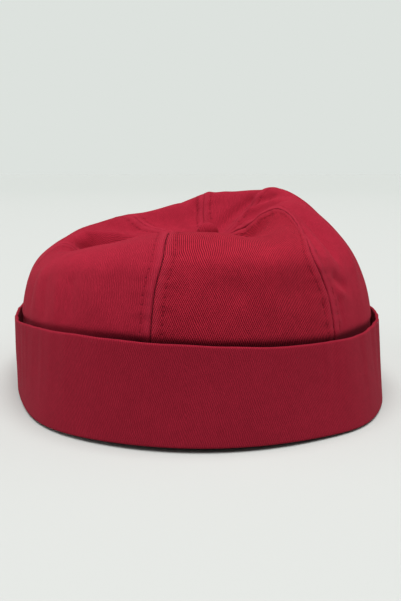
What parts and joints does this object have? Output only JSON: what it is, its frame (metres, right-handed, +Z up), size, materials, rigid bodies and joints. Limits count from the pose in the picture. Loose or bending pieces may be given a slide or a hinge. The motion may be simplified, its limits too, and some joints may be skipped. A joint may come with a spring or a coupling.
{
  "type": "skullcap",
  "caption": "Brimless cloth skullcap with a seamed crown sunk in at the top, a covered button in the dent and a wide plain turned-up cuff.",
  "frame": {"origin": "on the surface that the cap stands on, under the middle of its bounding box", "axes": "+Z up from the surface through the crown, +Y from the cap's front to its back, +X to its wearer's left"},
  "size_m": [0.1876, 0.22, 0.0964],
  "materials": {
    "twill": "matt crimson cotton twill",
    "sweatband": "matt dark plum-brown cotton tape"
  },
  "bodies": {
    "root": {"crown_panel_1": "twill", "crown_panel_2": "twill", "crown_panel_3": "twill", "crown_panel_4": "twill", "crown_panel_5": "twill", "crown_panel_6": "twill", "crown_button": "twill", "cuff": "twill", "sweatband": "sweatband"}
  },
  "joints": []
}
